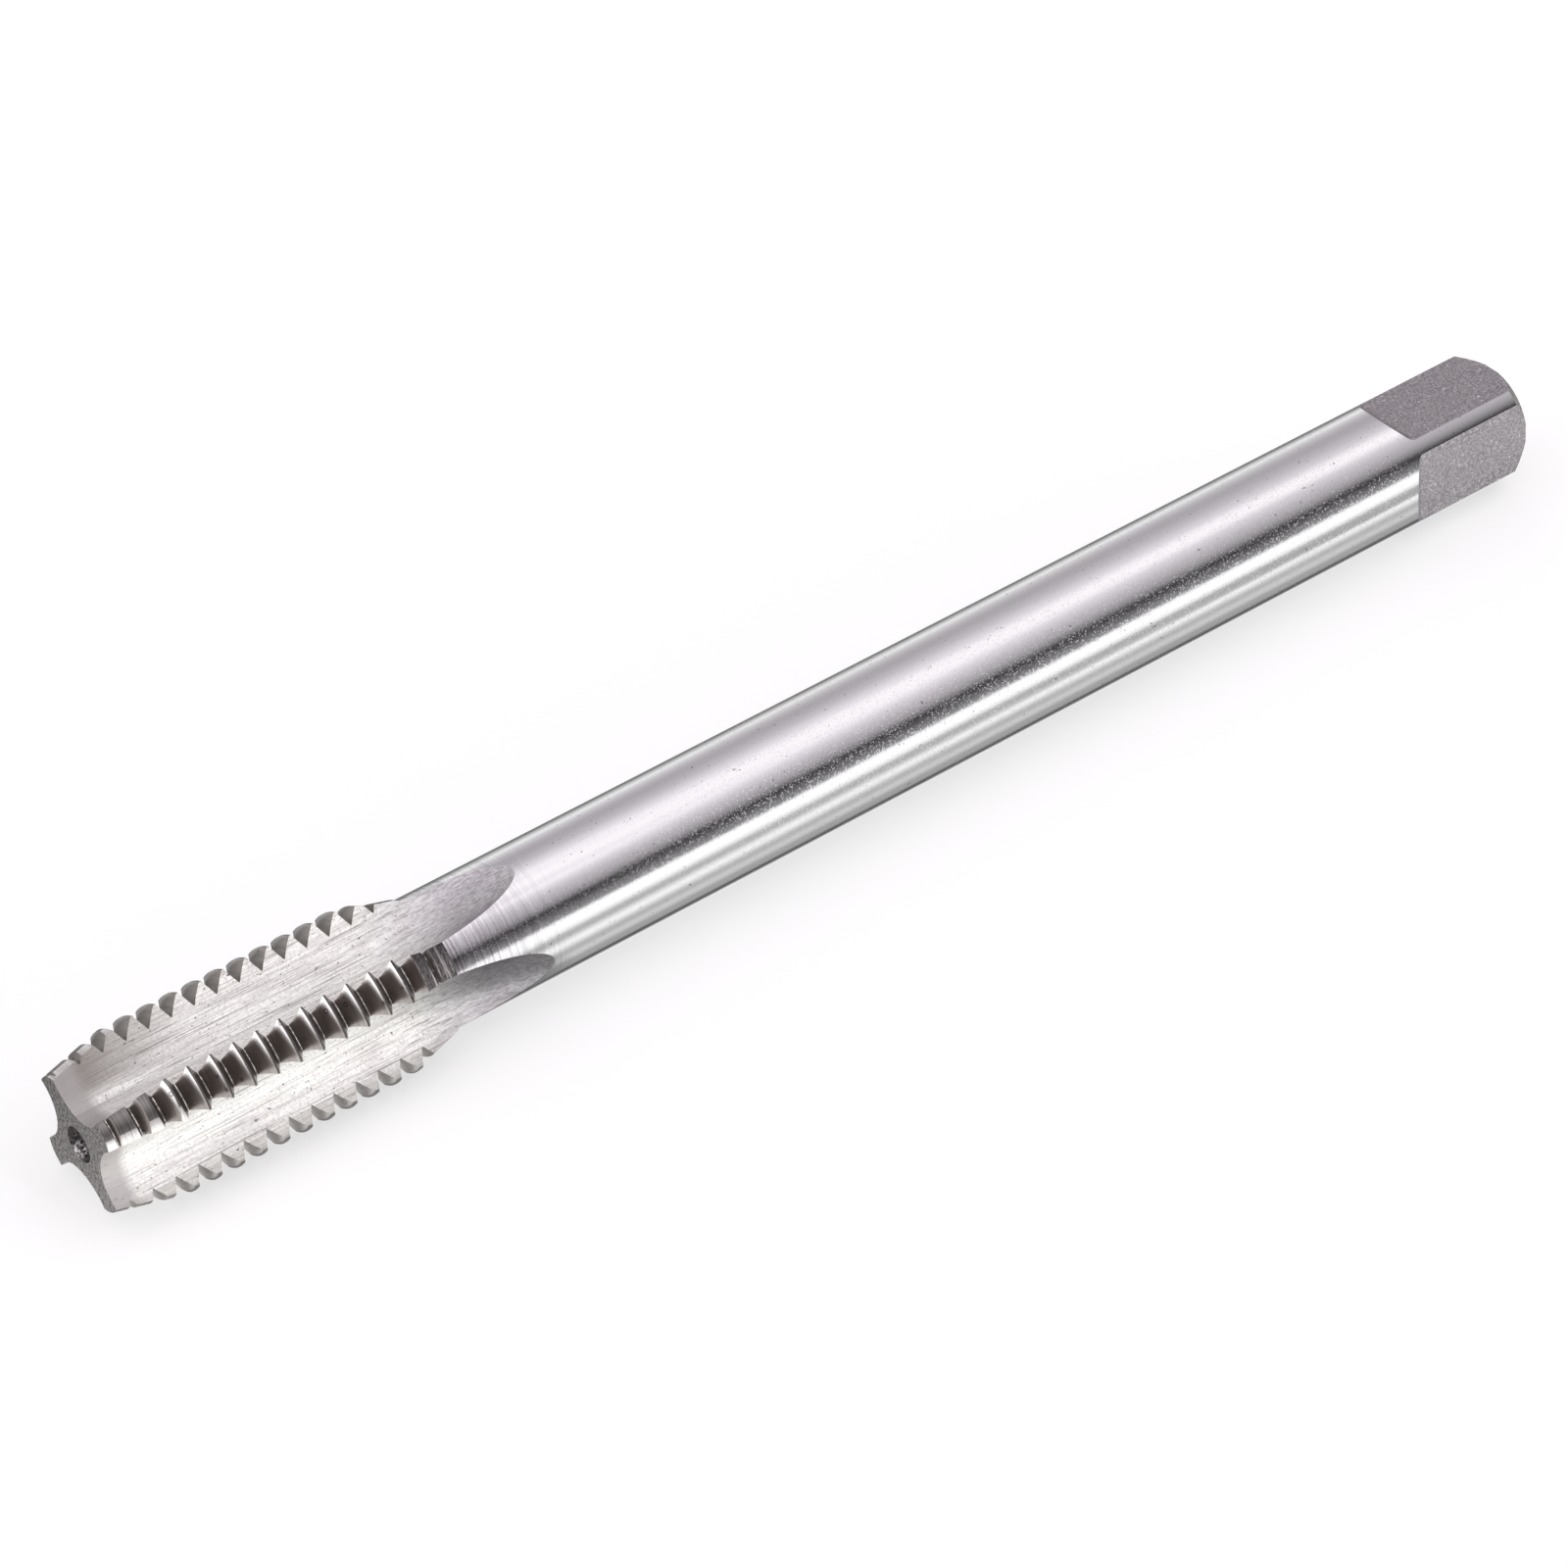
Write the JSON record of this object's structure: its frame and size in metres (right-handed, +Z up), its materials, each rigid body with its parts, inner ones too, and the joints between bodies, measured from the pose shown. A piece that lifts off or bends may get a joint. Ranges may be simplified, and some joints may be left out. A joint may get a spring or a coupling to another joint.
{
  "type": "thread tap",
  "caption": "Long hand tap: a plain round shank with a driving square at one end and straight flutes through a tapered cutting thread at the other, for threading a drilled hole.",
  "frame": {"origin": "centre of the cutting end's front face, on the tap's axis", "axes": "+X along the axis from the cutting end to the driving square, +Z up, with the lands of the thread at 45 degrees to +Z; it lies on the two lower lands"},
  "size_m": [0.16, 0.0138, 0.0138],
  "materials": {
    "steel": "ground high-speed steel: bright polished shank and flutes, matte blasted square"
  },
  "bodies": {
    "root": {"tap": "steel"}
  },
  "joints": []
}
